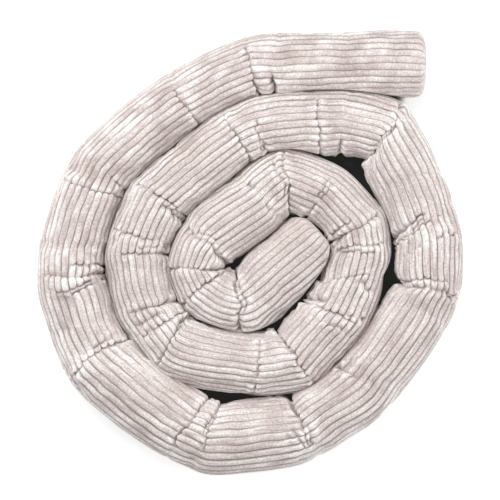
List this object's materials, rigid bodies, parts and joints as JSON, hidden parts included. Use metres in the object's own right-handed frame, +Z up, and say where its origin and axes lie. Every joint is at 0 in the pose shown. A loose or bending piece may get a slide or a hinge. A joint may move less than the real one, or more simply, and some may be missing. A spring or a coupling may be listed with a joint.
{
  "type": "crib bumper roll",
  "caption": "Long stuffed tube of wide-ribbed corduroy, lying coiled in a flat spiral, kinked at sharp creases along its inner side.",
  "frame": {"origin": "on the surface that the roll lies on, at the middle of its footprint", "axes": "+Z up, the thin direction of the coil; from above the roll runs along -X from its outer end and winds inwards to its left"},
  "size_m": [0.6554, 0.6828, 0.096],
  "materials": {
    "corduroy": "wide-ribbed cotton corduroy with a soft raised pile, warm pale grey-beige"
  },
  "bodies": {
    "root": {"bumper_roll": "corduroy"}
  },
  "joints": []
}
